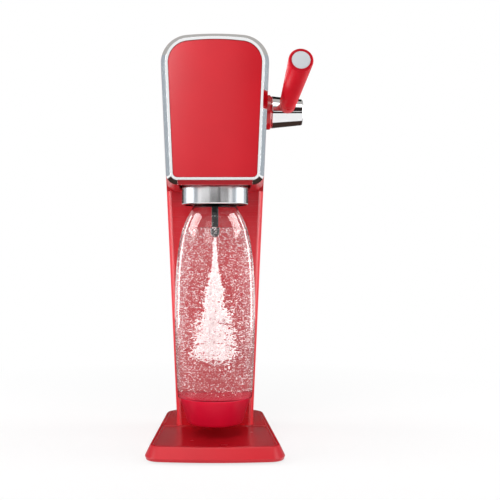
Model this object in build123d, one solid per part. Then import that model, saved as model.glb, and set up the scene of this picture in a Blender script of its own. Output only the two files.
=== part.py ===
from build123d import *
import math
import os

# Soda carbonator, in millimetres. X is right, -Y is front and Z is up.
# The origin is on the floor under the bottle's axis.

# Clearances
GAP = 0.3
RUNNING = 0.05
SEAM = 0.15

# Base: a low plinth with a sloped skirt and a drip tray let into its top
FOOT_HEIGHT = 1.5
FOOT_INSET = 12.0
FOOT_WIDTH = 8.0
BASE_HEIGHT = 16.0
BASE_BAND_TOP = 5.0
BASE_LIP = 1.0
BASE_LIP_INSET = 0.8
BASE_SKIRT_INSET = 5.0
BASE_HALF_FRONT = 72.5
BASE_HALF_BACK = 63.0
BASE_FRONT_R = 17.0
BASE_FRONT_BOW = 6.0
BASE_UNDERCUT = 1.2
BASE_BACK_R = 26.0
BASE_WALL = 2.5
BASE_FRONT_REACH = 15.0
BASE_BACK_REACH = 12.0
BOTTOM_PLATE = 2.0
TRAY_RIM = 3.0
TRAY_THICKNESS = 2.2
TRAY_DISH = 0.6
TRAY_DISH_BORDER = 1.6
TRAY_COLUMN_GAP = 2.0
SEAM_WIDTH = 0.6
SEAM_DEPTH = 0.4
SCREW_R = 1.5
SCREW_HEAD_R = 3.2
SCREW_HEAD = 1.2
SCREW_BOSS_R = 4.5
SCREW_INSET_X = 16.0
SCREW_INSET_Y = 34.0

# Bottle: clear blown shell on a coloured foot cup
BOTTLE_HEIGHT = 256.0
BOTTLE_R = 43.4
BOTTLE_WALL = 1.2
BELLY_HEIGHT = 120.0
UPPER_R = 41.2
UPPER_DROP = 80.0
SHOULDER_R = 35.2
SHOULDER_DROP = 46.0
SHOULDER_TOP_DROP = 21.0
NECK_R = 21.0
NECK_BASE_R = 22.4
NECK_WALL = 3.5
FLANGE_R = 23.3
FLANGE_DROP = 9.0
FLANGE_HEIGHT = 3.0
HEEL_R = 40.2
FOOT_CUP_HEIGHT = 29.0
FOOT_CUP_TOP_R = 38.8
FOOT_CUP_LOW_R = 29.5
FOOT_CUP_WALL = 1.8
FOOT_CUP_BEVEL = 1.4
BOTTLE_FLOOR_GAP = 12.0
NECK_INSERT = 2.0

# Bottle holder: bright collar on a tilting carriage
COLLAR_R = 36.1
COLLAR_WALL = 3.0
COLLAR_HEIGHT = 20.0
COLLAR_BEVEL = 3.5
COLLAR_TUCK = 1.5
MOUTH_GAP = 2.0
SLEEVE_BORE_R = 26.0
CARRIAGE_TOP_RISE = 25.0
TILT_AXIS_RISE = 17.0
TILT_ROOM = 8.9
TRUNNION_R = 4.0
TRUNNION_BOSS_R = 7.0
TRUNNION_BOSS_REACH = 6.4
TRUNNION_BLOCK = 18.0
TRUNNION_BLOCK_RISE = 14.0
TRUNNION_BLOCK_DROP = 12.0
GASKET_HEIGHT = 3.0
GASKET_BORE_R = 13.0
JAW_WALL = 1.9
JAW_ARC = 110.0
NOZZLE_R = 3.7
NOZZLE_TIP_Z_DROP = 55.0
NOZZLE_TIP_HEIGHT = 9.0
NOZZLE_TOP_RISE = 30.0
NOZZLE_STEM_R = 1.8
NOZZLE_SOCKET = 8.0
NOZZLE_JET_R = 0.8

# Body: a tall wedge whose sides lean out upwards and flare towards the back
HEAD_HEIGHT = 155.2
BODY_HALF_WIDTH = 48.8
SIDE_LEAN = 0.045
SIDE_FLARE = 0.053
BODY_WALL = 3.0
TOP_CROWN = 5.0
TOP_CORNER_R = 29.0
HEAD_LOW_R = 12.0
FRAME_DEPTH = 7.0
FRAME_BAND = 4.4
FRAME_RIM = 2.7
PANEL_SINK = 0.8
BOTTLE_BACK_GAP = 6.0
TROUGH_DEPTH = 7.4
TROUGH_FLANGE = 5.0
COLUMN_EDGE_R = 4.5
LINER_THICKNESS = 1.6
LINER_HOLLOW = 7.0
GROOVE_PITCH = 6.0
GROOVE_HEIGHT = 1.3
GROOVE_DEPTH = 0.8
GROOVE_MARGIN = 8.0
TROUGH_WALL = 2.5

# Gas cylinder and the rear cover that closes its compartment
CYLINDER_R = 30.0
CYLINDER_GAP = 1.5
CYLINDER_SHOULDER = 41.0
CYLINDER_NECK_R = 13.0
CYLINDER_BASE_R = 5.0
CRADLE_FLOOR = 2.0
CRADLE_HEIGHT = 14.0
CRADLE_WALL = 3.0
ADAPTOR_R = 13.5
ADAPTOR_HEIGHT = 34.0
ADAPTOR_FLANGE_R = 17.0
ADAPTOR_FLANGE = 4.0
SPIGOT_R = 9.0
SPIGOT_HEIGHT = 20.0
COVER_SPLIT = 15.0
COVER_ROOM = 10.4
COVER_WALL = 2.6
COVER_EDGE_R = 14.0
BUTTON_R = 10.0
BUTTON_FLANGE_R = 12.0
BUTTON_FLANGE = 2.2
BUTTON_PROUD = 0.8
BUTTON_DROP = 31.0
BUTTON_BEVEL = 0.8

# Valve gear under the top of the head
BRACKET_DROP = 24.0
BRACKET_THICKNESS = 3.0
BRACKET_FRONT = 15.0
VALVE_HALF_WIDTH = 13.0
VALVE_DEPTH = 26.0
VALVE_HEIGHT = 62.0
VALVE_BRIDGE_HALF = 10.0
VALVE_BRIDGE_HEIGHT = 20.0
SOCKET_R = 20.0
SOCKET_HEIGHT = 26.0
SEAL_HEIGHT = 3.0
SEAL_BORE_R = 3.0
VALVE_TO_SOCKET = 34.0
RELIEF_R = 5.0
RELIEF_LENGTH = 13.0
RELIEF_DROP = 24.0
HOSE_R = 3.0
HOSE_NUT_R = 4.2
HOSE_NUT = 6.0
HOSE_DROP = 40.0
LATCH_PIN_R = 2.5
LATCH_PIN_DROP = 8.0
LATCH_ARM = 4.0
LATCH_ARM_R = 4.6
LATCH_REACH = 26.0
LATCH_FALL = 8.0
LATCH_BAR = 5.0

# Carbonating lever on the right side, with the cam and the rod that it pushes
LEVER_Y = -5.0
LEVER_RISE = 81.4
SHAFT_R = 5.0
BUSH_R = 8.0
BUSH_REACH = 4.0
ESCUTCHEON_R = 18.5
ESCUTCHEON_DEPTH = 4.0
HUB_R_INNER = 17.25
HUB_R_OUTER = 13.75
HUB_LENGTH = 33.5
HUB_BEVEL = 1.2
HUB_BORE_DEPTH = 18.0
HANDLE_LENGTH = 128.0
HANDLE_RISE_DEG = 11.7
HANDLE_SPLAY_DEG = 1.6
HANDLE_OFFSET = 16.0
HANDLE_LIFT = 2.0
HANDLE_R_HUB = 8.2
HANDLE_R_END = 11.8
HANDLE_EDGE_R = 1.6
CAP_R = 9.6
CAP_RING_WALL = 0.8
CAP_DEPTH = 2.0
CAM_R = 10.0
CAM_HUB_R = 9.0
CAM_THICKNESS = 8.0
CAM_LIFT = 3.0
LEVER_SWING_DEG = 35.0
INNER_BUSH_X = -18.0
INNER_PLATE = 4.0
INNER_PLATE_DEPTH = 24.0
CLIP_THICKNESS = 1.2
ROD_R = 3.0
ROD_PAD_R = 7.0
ROD_PAD = 3.0
ROD_BORE_DEPTH = 16.0
SPRING_X = 8.0
SPRING_WIDTH = 6.0
SPRING_STRIP = 0.9
SPRING_PITCH = 2.4
SPRING_HALF_TURNS = 5

# Places worked out from the sizes above
HEAD_BOTTOM = BASE_HEIGHT + BOTTLE_FLOOR_GAP + BOTTLE_HEIGHT - NECK_INSERT
TOTAL_HEIGHT = HEAD_BOTTOM + HEAD_HEIGHT
SIDE_REF_Z = HEAD_BOTTOM - COLLAR_HEIGHT
HEAD_FRONT_Y = -(COLLAR_R + TILT_ROOM + BODY_WALL)
FRONT_Y = HEAD_FRONT_Y - FRAME_DEPTH
LINER_Y = BOTTLE_R + BOTTLE_BACK_GAP
COLUMN_FRONT_Y = LINER_Y - TROUGH_DEPTH
TROUGH_BACK_Y = LINER_Y + LINER_THICKNESS
BAY_FRONT_Y = TROUGH_BACK_Y + TROUGH_WALL
CYLINDER_Y = BAY_FRONT_Y + CYLINDER_GAP + CYLINDER_R
SPLIT_Y = CYLINDER_Y + COVER_SPLIT
BACK_Y = CYLINDER_Y + CYLINDER_R + COVER_ROOM + COVER_WALL
BASE_FRONT_Y = FRONT_Y - BASE_FRONT_REACH
BASE_BACK_Y = BACK_Y + BASE_BACK_REACH
TRAY_FLOOR = BASE_HEIGHT - TRAY_THICKNESS - GAP
CAVITY_TOP = TRAY_FLOOR - BASE_WALL
PLATE_TOP = FOOT_HEIGHT + BOTTOM_PLATE
BOTTLE_TOP = HEAD_BOTTOM + NECK_INSERT
GASKET_TOP = BOTTLE_TOP + GAP + GASKET_HEIGHT
BOTTLE_BOTTOM = BOTTLE_TOP - BOTTLE_HEIGHT
FOOT_CUP_TOP = BOTTLE_BOTTOM + FOOT_CUP_HEIGHT
COLLAR_TOP = HEAD_BOTTOM + COLLAR_TUCK
COLLAR_LOW = COLLAR_TOP - COLLAR_HEIGHT
TILT_Z = HEAD_BOTTOM + TILT_AXIS_RISE
BRACKET_Z = TOTAL_HEIGHT - BRACKET_DROP
SOCKET_LOW = BRACKET_Z - SOCKET_HEIGHT
SPIGOT_TOP = SOCKET_LOW + SPIGOT_R
VALVE_Y = CYLINDER_Y - VALVE_TO_SOCKET
LATCH_Z = BRACKET_Z - LATCH_PIN_DROP
CYLINDER_LOW = BASE_HEIGHT + CRADLE_FLOOR
CYLINDER_TOP = SPIGOT_TOP - SPIGOT_HEIGHT - ADAPTOR_HEIGHT
LEVER_Z = HEAD_BOTTOM + LEVER_RISE


def half_width(y, z):
    """Half the body's width at one place: it leans out upwards and flares to the back."""
    return BODY_HALF_WIDTH + SIDE_LEAN * (z - SIDE_REF_Z) + SIDE_FLARE * (y - FRONT_Y)


WALL_X = half_width(LEVER_Y, LEVER_Z)
HUB_X = WALL_X + ESCUTCHEON_DEPTH + GAP


def block(x0, x1, y0, y1, z0, z1):
    """Box between two corners."""
    centre = ((x0 + x1) / 2, (y0 + y1) / 2, (z0 + z1) / 2)
    return Pos(*centre) * Box(x1 - x0, y1 - y0, z1 - z0)


def turned(points, y=0.0):
    """Solid of revolution about an upright axis, from (radius, height) points."""
    face = Plane.XZ * make_face(Polyline(*points, close=True))
    return Pos(0, y, 0) * revolve(face, Axis.Z)


def turned_x(points, y, z):
    """Solid of revolution about an axis along X, from (x, radius) points."""
    return Pos(0, y, z) * revolve(make_face(Polyline(*points, close=True)), Axis.X)


def rod_x(x0, x1, radius, y, z):
    """Plain round bar along X."""
    return Pos((x0 + x1) / 2, y, z) * Rot(0, 90, 0) * Cylinder(radius, x1 - x0)


def rod_y(y0, y1, radius, x, z):
    """Plain round bar along Y."""
    return Pos(x, (y0 + y1) / 2, z) * Rot(90, 0, 0) * Cylinder(radius, y1 - y0)


def rod_z(z0, z1, radius, x, y):
    """Plain round bar along Z."""
    return Pos(x, y, (z0 + z1) / 2) * Cylinder(radius, z1 - z0)


def base_section(z, inset):
    """Plan of the base at one height: wider at the bowed front, with large corners at the back."""
    front = BASE_FRONT_Y + inset
    corner = front + BASE_FRONT_BOW
    back = BASE_BACK_Y - inset
    wide = BASE_HALF_FRONT - inset
    narrow = BASE_HALF_BACK - inset
    sides = Polyline((wide, corner), (narrow, back), (-narrow, back), (-wide, corner))
    bow = ThreePointArc((-wide, corner), (0, front), (wide, corner))
    face = make_face(sides.edges() + bow.edges())
    face = fillet(face.vertices().group_by(Axis.Y)[0], max(BASE_FRONT_R - inset, 1.0))
    face = fillet(face.vertices().group_by(Axis.Y)[-1], max(BASE_BACK_R - inset, 1.0))
    return Pos(0, 0, z) * face


def body_section(y, low, inset, low_r):
    """Section across the body at one depth: leaning sides, crowned top and rounded corners."""
    floor = low + inset
    shoulder = TOTAL_HEIGHT - inset - TOP_CROWN
    a = half_width(y, floor) - inset
    b = half_width(y, shoulder) - inset
    sides = Polyline((-b, shoulder), (-a, floor), (a, floor), (b, shoulder))
    crown = ThreePointArc((b, shoulder), (0, shoulder + TOP_CROWN), (-b, shoulder))
    face = make_face(sides.edges() + crown.edges())
    if low_r > inset:
        face = fillet(face.vertices().group_by(Axis.Y)[0], low_r - inset)
    face = fillet(face.vertices().group_by(Axis.Y)[-1], TOP_CORNER_R - inset)
    return Plane.XZ.offset(-y) * face


def wedge(y0, y1, low, inset, low_r=0.0, inset_end=None):
    """Body between two depths, with one inset or a different one at its far end."""
    end = inset if inset_end is None else inset_end
    return loft([body_section(y0, low, inset, low_r), body_section(y1, low, end, low_r)], ruled=True)


def slab(y0, y1, low, high, inset):
    """Straight stretch of the body between two depths and two heights, without its rounded top."""
    faces = []
    for y in (y0, y1):
        a = half_width(y, low) - inset
        b = half_width(y, high) - inset
        face = make_face(Polyline((-a, low), (a, low), (b, high), (-b, high), close=True))
        faces.append(Plane.XZ.offset(-y) * face)
    return loft(faces, ruled=True)


def head_block(inset, front_y, back_y):
    """Outer or inner form of the head: round low edges in front of the column, square behind."""
    front = wedge(front_y, COLUMN_FRONT_Y, HEAD_BOTTOM, inset, HEAD_LOW_R)
    return front + wedge(COLUMN_FRONT_Y, back_y, HEAD_BOTTOM, inset)


def screw_places():
    """Four places of the base screws in plan."""
    lean = (BASE_HALF_FRONT - BASE_HALF_BACK) / (BASE_BACK_Y - BASE_FRONT_Y)
    places = []
    for y in (BASE_FRONT_Y + SCREW_INSET_Y, BASE_BACK_Y - SCREW_INSET_Y):
        x = BASE_HALF_FRONT - lean * (y - BASE_FRONT_Y) - SCREW_INSET_X
        places += [(-x, y), (x, y)]
    return places


def tray_plate(low, high, grow):
    """Plan of the drip tray, which stops in front of the column, as a plate between two heights."""
    inset = BASE_SKIRT_INSET + BASE_LIP_INSET + TRAY_RIM - grow
    plate = extrude(base_section(low, inset), high - low)
    back = COLUMN_FRONT_Y - TRAY_COLUMN_GAP + grow
    return plate & block(-BASE_HALF_FRONT, BASE_HALF_FRONT, BASE_FRONT_Y, back, low, high)


def base_housing():
    top_inset = BASE_SKIRT_INSET + BASE_LIP_INSET
    lip_low = BASE_HEIGHT - BASE_LIP
    body = loft([base_section(FOOT_HEIGHT, BASE_UNDERCUT), base_section(BASE_BAND_TOP, 0),
                 base_section(lip_low, BASE_SKIRT_INSET), base_section(BASE_HEIGHT, top_inset)], ruled=True)
    body -= loft([base_section(FOOT_HEIGHT, BASE_WALL), base_section(BASE_BAND_TOP, BASE_WALL),
                  base_section(CAVITY_TOP, BASE_SKIRT_INSET + BASE_WALL)], ruled=True)
    for x, y in screw_places():
        body += rod_z(PLATE_TOP, CAVITY_TOP, SCREW_BOSS_R, x, y)
        body -= rod_z(PLATE_TOP, CAVITY_TOP, SCREW_R, x, y)
    body -= tray_plate(TRAY_FLOOR, BASE_HEIGHT, GAP)
    seam_low = BASE_HEIGHT - SEAM_DEPTH
    ring = base_section(seam_low, top_inset + TRAY_RIM) - base_section(seam_low, top_inset + TRAY_RIM + SEAM_WIDTH)
    seam = extrude(ring, SEAM_DEPTH)
    seam &= block(-BASE_HALF_FRONT, BASE_HALF_FRONT, COLUMN_FRONT_Y, BASE_BACK_Y, seam_low, BASE_HEIGHT)
    return body - seam


def base_bottom_plate():
    plate = extrude(base_section(FOOT_HEIGHT, BASE_WALL + SEAM), BOTTOM_PLATE)
    for x, y in screw_places():
        plate -= rod_z(FOOT_HEIGHT, PLATE_TOP, SCREW_R, x, y)
        plate -= rod_z(FOOT_HEIGHT, FOOT_HEIGHT + SCREW_HEAD, SCREW_HEAD_R, x, y)
    return plate


def foot_ring():
    return extrude(base_section(0, FOOT_INSET) - base_section(0, FOOT_INSET + FOOT_WIDTH), FOOT_HEIGHT)


def base_screws():
    screws = []
    for x, y in screw_places():
        head = rod_z(FOOT_HEIGHT, FOOT_HEIGHT + SCREW_HEAD, SCREW_HEAD_R, x, y)
        screws.append(head + rod_z(FOOT_HEIGHT + SCREW_HEAD, CAVITY_TOP, SCREW_R, x, y))
    return Compound(children=screws)


def drip_tray():
    plate = tray_plate(BASE_HEIGHT - TRAY_THICKNESS, BASE_HEIGHT, 0)
    return plate - tray_plate(BASE_HEIGHT - TRAY_DISH, BASE_HEIGHT, -TRAY_DISH_BORDER)


def column_shell():
    body = slab(COLUMN_FRONT_Y, SPLIT_Y, BASE_HEIGHT, HEAD_BOTTOM, 0)
    front = body.faces().sort_by(Axis.Y)[0].edges().sort_by(Axis.X)
    body = fillet([front[0], front[-1]], COLUMN_EDGE_R)
    body -= slab(COLUMN_FRONT_Y, TROUGH_BACK_Y, BASE_HEIGHT, HEAD_BOTTOM, TROUGH_FLANGE)
    return body - slab(BAY_FRONT_Y, SPLIT_Y, BASE_HEIGHT, HEAD_BOTTOM, BODY_WALL)


def trough_liner():
    """Ribbed panel behind the bottle: hollow towards it, with level grooves."""
    liner = slab(LINER_Y - LINER_HOLLOW, TROUGH_BACK_Y, BASE_HEIGHT, HEAD_BOTTOM, TROUGH_FLANGE)
    half = half_width(LINER_Y, HEAD_BOTTOM) - TROUGH_FLANGE
    radius = (half ** 2 + LINER_HOLLOW ** 2) / (2 * LINER_HOLLOW)
    axis_y = LINER_Y - radius
    liner -= rod_z(BASE_HEIGHT, HEAD_BOTTOM, radius, 0, axis_y)
    grooves = []
    z = BASE_HEIGHT + GROOVE_MARGIN
    while z < HEAD_BOTTOM - GROOVE_MARGIN:
        grooves.append(rod_z(z, z + GROOVE_HEIGHT, radius + GROOVE_DEPTH, 0, axis_y))
        z += GROOVE_PITCH
    return liner - grooves


def mouth(y0, y1, height):
    """Opening in the underside of the head for the bottle holder, between two depths."""
    half = COLLAR_R + MOUTH_GAP
    return block(-half, half, y0, y1, HEAD_BOTTOM, HEAD_BOTTOM + height)


def head_shell():
    shell = head_block(0, HEAD_FRONT_Y, SPLIT_Y)
    shell -= head_block(BODY_WALL, HEAD_FRONT_Y + BODY_WALL, SPLIT_Y + BODY_WALL)
    floor_top = HEAD_BOTTOM + BODY_WALL
    shell -= mouth(HEAD_FRONT_Y + BODY_WALL + MOUTH_GAP, COLUMN_FRONT_Y, BODY_WALL)
    shell -= slab(BAY_FRONT_Y, SPLIT_Y + BODY_WALL, HEAD_BOTTOM, floor_top, BODY_WALL)
    return shell - rod_x(0, WALL_X + BODY_WALL, BUSH_R, LEVER_Y, LEVER_Z)


def chrome_frame():
    """Frame with a slanting outer band, which is left out in front of the mouth."""
    frame = wedge(FRONT_Y, HEAD_FRONT_Y, HEAD_BOTTOM, FRAME_BAND, HEAD_LOW_R, 0)
    frame -= wedge(FRONT_Y, HEAD_FRONT_Y, HEAD_BOTTOM, FRAME_BAND + FRAME_RIM, HEAD_LOW_R)
    return frame - mouth(FRONT_Y, HEAD_FRONT_Y, FRAME_BAND)


def front_panel():
    return wedge(FRONT_Y + PANEL_SINK, HEAD_FRONT_Y, HEAD_BOTTOM, FRAME_BAND + FRAME_RIM + SEAM, HEAD_LOW_R)


def rear_cover():
    def back_edges(solid):
        return solid.faces().sort_by(Axis.Y)[-1].edges().sort_by(Axis.Z)[1:]

    low = BASE_HEIGHT + GAP
    cover = wedge(SPLIT_Y + GAP, BACK_Y, low, 0)
    cover = fillet(back_edges(cover), COVER_EDGE_R)
    room = wedge(SPLIT_Y, BACK_Y - COVER_WALL, low - BASE_HEIGHT, COVER_WALL)
    cover -= chamfer(back_edges(room), COVER_EDGE_R - 2 * COVER_WALL)
    return cover - rod_y(SPLIT_Y, BACK_Y, BUTTON_R + GAP, 0, TOTAL_HEIGHT - BUTTON_DROP)


def cover_button():
    z = TOTAL_HEIGHT - BUTTON_DROP
    inner = BACK_Y - COVER_WALL - GAP
    outer = BACK_Y + BUTTON_PROUD
    crown = Pos(0, (inner + outer) / 2, z) * Rot(90, 0, 0) * Cylinder(BUTTON_R, outer - inner)
    crown = chamfer(crown.edges().sort_by(Axis.Y)[-1], BUTTON_BEVEL)
    return crown + rod_y(inner - BUTTON_FLANGE, inner, BUTTON_FLANGE_R, 0, z)


def bottle_shell():
    belly = BOTTLE_BOTTOM + BELLY_HEIGHT
    waist = BOTTLE_TOP - SHOULDER_DROP
    neck_base = BOTTLE_TOP - SHOULDER_TOP_DROP
    flange_top = BOTTLE_TOP - FLANGE_DROP
    flange_low = flange_top - FLANGE_HEIGHT
    heel = FOOT_CUP_TOP
    dome_r = FOOT_CUP_TOP_R - FOOT_CUP_WALL - GAP
    dome_low = BOTTLE_BOTTOM + 2 * FOOT_CUP_WALL + BOTTLE_WALL
    neck_in = NECK_R - NECK_WALL
    wall = BOTTLE_WALL

    def side(offset):
        stations = [(NECK_BASE_R, neck_base), (SHOULDER_R, waist), (UPPER_R, BOTTLE_TOP - UPPER_DROP), (BOTTLE_R, belly)]
        points = [(radius - offset, z) for radius, z in stations]
        return Spline(*points, (HEEL_R - offset, heel + offset))

    dome_rise = heel - dome_low
    dome_ball = (dome_r ** 2 + dome_rise ** 2) / (2 * dome_rise)
    dome_centre = dome_low + dome_ball

    def dome(offset):
        ball = dome_ball - offset
        drop = dome_centre - heel - offset
        start = math.sqrt(ball ** 2 - drop ** 2)
        half = math.atan2(start, drop) / 2
        middle = (ball * math.sin(half), dome_centre - ball * math.cos(half))
        return ThreePointArc((start, heel + offset), middle, (0, dome_centre - ball))

    outer_neck = Polyline((NECK_R, BOTTLE_TOP), (NECK_R, flange_top), (FLANGE_R, flange_top), (FLANGE_R, flange_low),
                          (NECK_R, flange_low), (NECK_R, neck_base + wall), (NECK_BASE_R, neck_base))
    inner_neck = Polyline((NECK_BASE_R - wall, neck_base), (neck_in, neck_base + 2 * wall), (neck_in, BOTTLE_TOP),
                          (NECK_R, BOTTLE_TOP))
    heel_step = Line((HEEL_R, heel), (dome_r, heel))
    inner_step = Line((HEEL_R - wall, heel + wall), dome(wall) @ 0)
    pole = Line((0, dome_low), (0, dome_low + wall))
    outline = [outer_neck, side(0), heel_step, dome(0), pole, dome(wall), inner_step, side(wall), inner_neck]
    face = make_face([edge for piece in outline for edge in piece.edges()])
    return revolve(Plane.XZ * face, Axis.Z)


def bottle_foot():
    low = BOTTLE_BOTTOM
    wall = FOOT_CUP_WALL
    bevel = FOOT_CUP_BEVEL
    return turned([(0, low), (FOOT_CUP_LOW_R - bevel, low), (FOOT_CUP_LOW_R, low + bevel),
                   (FOOT_CUP_TOP_R, FOOT_CUP_TOP), (FOOT_CUP_TOP_R - wall, FOOT_CUP_TOP),
                   (FOOT_CUP_LOW_R - wall, low + wall), (0, low + wall)])


def holder_collar():
    inner = COLLAR_R - COLLAR_WALL
    return turned([(inner, COLLAR_TOP), (COLLAR_R, COLLAR_TOP), (COLLAR_R, COLLAR_LOW + COLLAR_BEVEL),
                   (COLLAR_R - COLLAR_WALL / 2, COLLAR_LOW), (inner, COLLAR_LOW)])


def guide_sleeve():
    """Dark ring inside the collar, which carries the jaws and closes on the carriage."""
    inner = COLLAR_R - COLLAR_WALL
    return turned([(SLEEVE_BORE_R, COLLAR_LOW), (inner, COLLAR_LOW), (inner, COLLAR_TOP), (COLLAR_R, COLLAR_TOP),
                   (COLLAR_R, GASKET_TOP), (SLEEVE_BORE_R, GASKET_TOP)])


def holder_carriage():
    """Dark moulding over the bottle's mouth, with a socket for the nozzle and a boss for each trunnion."""
    inner = COLLAR_R - COLLAR_WALL
    top = HEAD_BOTTOM + CARRIAGE_TOP_RISE
    body = turned([(NOZZLE_R, GASKET_TOP), (COLLAR_R, GASKET_TOP), (COLLAR_R, top), (NOZZLE_STEM_R, top),
                   (NOZZLE_STEM_R, GASKET_TOP + NOZZLE_SOCKET), (NOZZLE_R, GASKET_TOP + NOZZLE_SOCKET)])
    reach = COLLAR_R + TRUNNION_BOSS_REACH
    for side in (-1, 1):
        ends = sorted((side * inner, side * reach))
        body += rod_x(*ends, TRUNNION_BOSS_R, 0, TILT_Z)
        body -= rod_x(*ends, TRUNNION_R, 0, TILT_Z)
    return body


def trunnion_pins():
    inner = COLLAR_R - COLLAR_WALL
    outer = half_width(0, TILT_Z) - BODY_WALL - MOUTH_GAP
    return Compound(children=[rod_x(inner, outer, TRUNNION_R, 0, TILT_Z), rod_x(-outer, -inner, TRUNNION_R, 0, TILT_Z)])


def trunnion_blocks():
    """Bearing blocks on the head's side walls."""
    inner = COLLAR_R + TRUNNION_BOSS_REACH + GAP
    outer = half_width(0, TILT_Z)
    room = wedge(-TRUNNION_BLOCK, TRUNNION_BLOCK, HEAD_BOTTOM, BODY_WALL, HEAD_LOW_R)
    low = TILT_Z - TRUNNION_BLOCK_DROP
    high = TILT_Z + TRUNNION_BLOCK_RISE
    blocks = []
    for side in (-1, 1):
        ends = sorted((side * inner, side * outer))
        bearing = block(*ends, -TRUNNION_BLOCK / 2, TRUNNION_BLOCK / 2, low, high) & room
        blocks.append(bearing - rod_x(*ends, TRUNNION_R + RUNNING, 0, TILT_Z))
    return Compound(children=blocks)


def bottle_gasket():
    low = BOTTLE_TOP + GAP
    return turned([(GASKET_BORE_R, low), (NECK_R, low), (NECK_R, low + GASKET_HEIGHT),
                   (GASKET_BORE_R, low + GASKET_HEIGHT)])


def snap_jaws():
    """Two curved jaws on the sleeve's bore, round the bottle's neck flange."""
    height = BOTTLE_TOP - COLLAR_LOW - GAP
    jaws = []
    for turn in (0, 180):
        ring = Circle(SLEEVE_BORE_R) - Circle(SLEEVE_BORE_R - JAW_WALL)
        reach = 2 * SLEEVE_BORE_R
        spread = reach * math.tan(math.radians(JAW_ARC / 2))
        sector = make_face(Polyline((0, 0), (reach, -spread), (reach, spread), close=True))
        jaws.append(Pos(0, 0, COLLAR_LOW) * Rot(0, 0, turn) * extrude(ring & sector, height))
    return Compound(children=jaws)


def nozzle_tube():
    low = HEAD_BOTTOM - NOZZLE_TIP_Z_DROP + NOZZLE_TIP_HEIGHT
    socket = GASKET_TOP + NOZZLE_SOCKET
    top = HEAD_BOTTOM + NOZZLE_TOP_RISE
    return rod_z(low, socket, NOZZLE_R, 0, 0) + rod_z(socket, top, NOZZLE_STEM_R, 0, 0)


def nozzle_tip():
    low = HEAD_BOTTOM - NOZZLE_TIP_Z_DROP
    high = low + NOZZLE_TIP_HEIGHT
    return turned([(NOZZLE_JET_R, low), (NOZZLE_R / 2, low), (NOZZLE_R, low + NOZZLE_R), (NOZZLE_R, high),
                   (NOZZLE_JET_R, high)])


def co2_cylinder():
    low = CYLINDER_LOW
    top = CYLINDER_TOP
    edge = CYLINDER_BASE_R
    start = top - CYLINDER_SHOULDER
    profile = Polyline((0, top), (0, low), (CYLINDER_R - edge, low), (CYLINDER_R, low + edge), (CYLINDER_R, start))
    shoulder = Spline((CYLINDER_R, start), (CYLINDER_NECK_R, top), tangents=[(0, 1), (-0.35, 1)])
    close = Line((CYLINDER_NECK_R, top), (0, top))
    face = make_face(profile.edges() + shoulder.edges() + close.edges())
    return Pos(0, CYLINDER_Y, 0) * revolve(Plane.XZ * face, Axis.Z)


def cylinder_adaptor():
    """Stepped cap on the cylinder, with a flange and the spigot that enters the valve."""
    low = CYLINDER_TOP
    step = low + ADAPTOR_HEIGHT
    flange = low + ADAPTOR_HEIGHT / 2
    return turned([(0, low), (ADAPTOR_R, low), (ADAPTOR_R, flange), (ADAPTOR_FLANGE_R, flange),
                   (ADAPTOR_FLANGE_R, flange + ADAPTOR_FLANGE), (ADAPTOR_R, flange + ADAPTOR_FLANGE),
                   (ADAPTOR_R, step - 1.0), (ADAPTOR_R - 1.0, step), (SPIGOT_R, step), (SPIGOT_R, SPIGOT_TOP),
                   (0, SPIGOT_TOP)], CYLINDER_Y)


def cylinder_cradle():
    low = BASE_HEIGHT
    inner = CYLINDER_R + GAP
    outer = inner + CRADLE_WALL
    cup = turned([(0, low), (outer, low), (outer, low + CRADLE_HEIGHT), (inner, low + CRADLE_HEIGHT),
                  (inner, low + CRADLE_FLOOR), (0, low + CRADLE_FLOOR)], CYLINDER_Y)
    return cup - block(-outer, outer, 0, BAY_FRONT_Y, low, low + CRADLE_HEIGHT)


def valve_bracket():
    """Cross plate between the head's side walls, which carries the valve and the lever shaft."""
    front = LEVER_Y - BRACKET_FRONT
    room = wedge(front, CYLINDER_Y, HEAD_BOTTOM, BODY_WALL)
    reach = half_width(SPLIT_Y, TOTAL_HEIGHT)
    plate = block(-reach, reach, front, CYLINDER_Y, BRACKET_Z, BRACKET_Z + BRACKET_THICKNESS)
    return plate & room


def valve_body():
    half = VALVE_HALF_WIDTH
    front = VALVE_Y - VALVE_DEPTH / 2
    body = block(-half, half, front, VALVE_Y + VALVE_DEPTH / 2, BRACKET_Z - VALVE_HEIGHT, BRACKET_Z)
    body += block(-VALVE_BRIDGE_HALF, VALVE_BRIDGE_HALF, VALVE_Y, CYLINDER_Y, BRACKET_Z - VALVE_BRIDGE_HEIGHT, BRACKET_Z)
    body += rod_z(SOCKET_LOW, BRACKET_Z, SOCKET_R, 0, CYLINDER_Y)
    body -= rod_z(SOCKET_LOW, SPIGOT_TOP + SEAL_HEIGHT, SPIGOT_R, 0, CYLINDER_Y)
    body -= rod_x(-SOCKET_R, SOCKET_R, LATCH_PIN_R, CYLINDER_Y, LATCH_Z)
    return body - rod_y(front, front + ROD_BORE_DEPTH, ROD_R + RUNNING, 0, LEVER_Z)


def inlet_seal():
    low = SPIGOT_TOP
    return turned([(SEAL_BORE_R, low), (SPIGOT_R, low), (SPIGOT_R, low + SEAL_HEIGHT),
                   (SEAL_BORE_R, low + SEAL_HEIGHT)], CYLINDER_Y)


def relief_valve():
    z = BRACKET_Z - RELIEF_DROP
    x = VALVE_HALF_WIDTH
    nut = extrude(Plane.YZ.offset(x) * RegularPolygon(RELIEF_R, 6), RELIEF_LENGTH / 2)
    return Pos(0, VALVE_Y, z) * nut + rod_x(x + RELIEF_LENGTH / 2, x + RELIEF_LENGTH, RELIEF_R / 2, VALVE_Y, z)


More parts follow.
